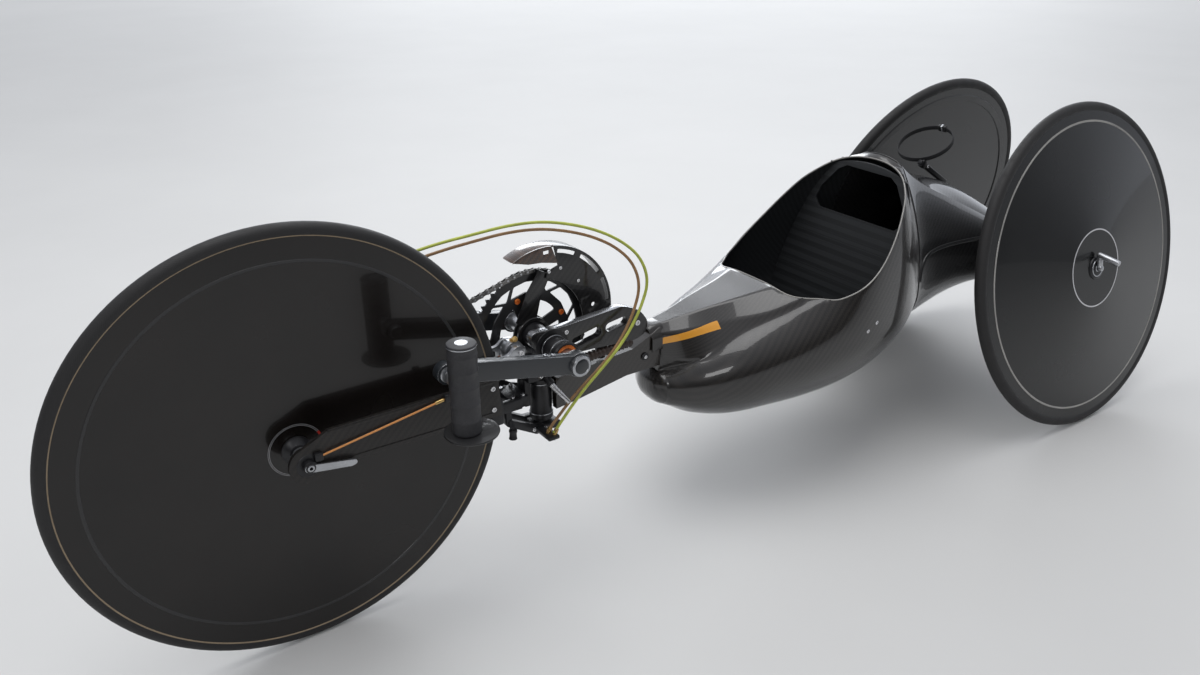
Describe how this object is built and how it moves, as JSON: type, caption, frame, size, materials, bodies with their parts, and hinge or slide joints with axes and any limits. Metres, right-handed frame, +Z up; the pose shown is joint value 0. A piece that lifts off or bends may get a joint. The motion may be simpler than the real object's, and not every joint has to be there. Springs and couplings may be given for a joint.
{
  "type": "racing handbike",
  "caption": "Low three-wheeled racing handbike: kneeling tub, cambered rear disc wheels, and a steered fork with hand cranks driving the front disc wheel by chain.",
  "frame": {"origin": "on the floor, midway between the front and the rear axle", "axes": "+X forward, +Y to the rider's left, +Z up"},
  "size_m": [2.254, 0.605, 0.668],
  "materials": {
    "carbon_gloss": "glossy dark twill weave",
    "carbon_satin": "satin dark weave",
    "disc_gloss": "smooth glossy black disc",
    "tyre": "matt black",
    "black_metal": "black anodised",
    "grey_metal": "satin machined",
    "orange_metal": "orange anodised",
    "chain_steel": "oiled dark steel",
    "grip_tape": "wrapped tape",
    "soft_rubber": "matt ridged",
    "cable_green": "satin housing",
    "cable_brown": "satin housing",
    "cable_orange": "satin wire",
    "strap": "woven black webbing"
  },
  "bodies": {
    "frame": {"tub_shell": "carbon_gloss", "tail_fairing": "carbon_gloss", "seat_bulkhead": "carbon_satin", "axle_beam": "black_metal", "stub_axle_left": "grey_metal", "stub_axle_right": "grey_metal", "nose_beam": "carbon_gloss", "head_tube": "black_metal", "strap_bar": "black_metal", "strap_loop": "strap"},
    "fork": {"steerer": "grey_metal", "yoke_top": "black_metal", "yoke_low": "black_metal", "fork_crown": "black_metal", "fork_blade_left": "carbon_satin", "fork_blade_right": "carbon_satin", "front_axle": "black_metal", "slotted_arm": "carbon_gloss", "centring_rubber": "soft_rubber", "crank_housing": "black_metal", "bearing_cup_left": "orange_metal", "bearing_cup_right": "orange_metal", "chain": "chain_steel", "chain_guard": "carbon_gloss", "brake_caliper": "black_metal", "derailleur": "black_metal", "cable_yellow": "cable_green", "cable_brown": "cable_brown", "cable_orange": "cable_orange", "cable_stops": "black_metal"},
    "crank": {"crank_axle": "grey_metal", "crank_arm_left": "black_metal", "crank_arm_right": "black_metal", "chainring": "black_metal"},
    "front_wheel": {"front_tyre": "tyre", "front_disc": "disc_gloss", "front_hub": "black_metal", "cassette": "chain_steel"},
    "rear_wheel_left": {"rear_tyre_left": "tyre", "rear_disc_left": "disc_gloss", "rear_hub_left": "black_metal"},
    "grip_left": {"grip_handle_left": "grip_tape", "grip_plate_left": "black_metal", "grip_pin_left": "grey_metal"},
    "rear_wheel_right": {"rear_tyre_right": "tyre", "rear_disc_right": "disc_gloss", "rear_hub_right": "black_metal"},
    "grip_right": {"grip_handle_right": "grip_tape", "grip_plate_right": "black_metal", "grip_pin_right": "grey_metal"}
  },
  "joints": [
    {"name": "steering", "type": "hinge", "parent": "frame", "child": "fork", "pos_m": [0.379, 0, 0.3], "axis": [0, 0, 1], "range_deg": [-7, 7]},
    {"name": "crank_spin", "type": "hinge", "parent": "fork", "child": "crank", "pos_m": [0.372, 0, 0.389], "axis": [0, 1, 0], "continuous": true},
    {"name": "front_wheel_spin", "type": "hinge", "parent": "fork", "child": "front_wheel", "pos_m": [0.793, 0, 0.334], "axis": [0, 1, 0], "continuous": true},
    {"name": "rear_wheel_left_spin", "type": "hinge", "parent": "frame", "child": "rear_wheel_left", "pos_m": [-0.793, 0.2212, 0.32636], "axis": [0, 0.9763, 0.2164], "continuous": true},
    {"name": "rear_wheel_right_spin", "type": "hinge", "parent": "frame", "child": "rear_wheel_right", "pos_m": [-0.793, -0.2212, 0.32636], "axis": [0, 0.9763, -0.2164], "continuous": true},
    {"name": "grip_left_spin", "type": "hinge", "parent": "crank", "child": "grip_left", "pos_m": [0.5937, 0.16, 0.43774], "axis": [0, 1, 0], "continuous": true},
    {"name": "grip_right_spin", "type": "hinge", "parent": "crank", "child": "grip_right", "pos_m": [0.5937, -0.16, 0.43774], "axis": [0, 1, 0], "continuous": true}
  ]
}
